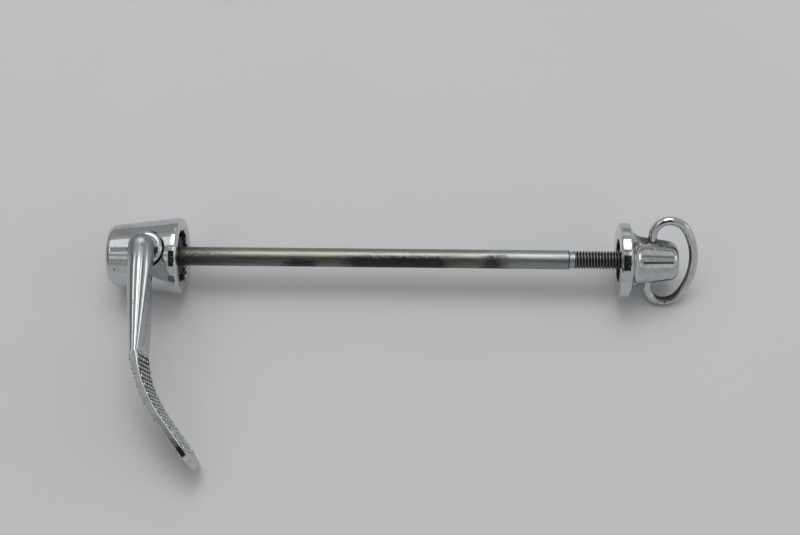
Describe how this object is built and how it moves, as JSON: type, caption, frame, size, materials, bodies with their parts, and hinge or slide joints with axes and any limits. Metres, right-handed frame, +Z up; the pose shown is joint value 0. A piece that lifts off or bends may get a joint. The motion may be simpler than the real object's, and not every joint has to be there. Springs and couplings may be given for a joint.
{
  "type": "quick release skewer",
  "caption": "Slim rod with a cam lever in a tapered housing at one end and a conical adjusting nut with a wire finger loop at the other, for clamping a bicycle's front wheel.",
  "frame": {"origin": "on the rod's axis, in the plane of the cam housing's clamping face", "axes": "+X along the rod from the cam housing to the nut, +Z up from the surface that it lies on, the closed lever towards -Y"},
  "size_m": [0.1556, 0.0683, 0.0257],
  "materials": {
    "rod_steel": "drawn, stained with old grease",
    "inner_steel": "turned, greasy",
    "housing_chrome": "plated, finely pitted",
    "lever_chrome": "plated forging, knurled paddle",
    "nut_chrome": "plated, pitted near the cross hole",
    "wire_chrome": "plated wire"
  },
  "bodies": {
    "housing": {"cam_housing": "housing_chrome"},
    "lever": {"lever": "lever_chrome", "thrust_washer": "inner_steel", "snap_ring": "inner_steel"},
    "rod": {"skewer_rod": "rod_steel", "cam_follower": "inner_steel"},
    "nut": {"adjusting_nut": "nut_chrome"},
    "loop": {"wire_loop": "wire_chrome"}
  },
  "joints": [
    {"name": "lever_swing", "type": "hinge", "parent": "housing", "child": "lever", "pos_m": [-0.008, 0, 0], "axis": [0, 0.2408, -0.9706], "range_deg": [0, 180]},
    {"name": "rod_draw", "type": "slide", "parent": "housing", "child": "rod", "axis": [1, 0, 0], "range_m": [0, 0.002]},
    {"name": "nut_turn", "type": "hinge", "parent": "rod", "child": "nut", "pos_m": [0.1154, 0, 0], "axis": [1, 0, 0], "continuous": true},
    {"name": "loop_swing", "type": "hinge", "parent": "nut", "child": "loop", "pos_m": [0.1238, 0, 0], "axis": [0.0349, 0.6424, 0.7656], "range_deg": [-105, 105]}
  ],
  "couplings": [
    {"joint": "rod_draw", "follows": "lever_swing", "m_per_rad": 0.00063661}
  ]
}
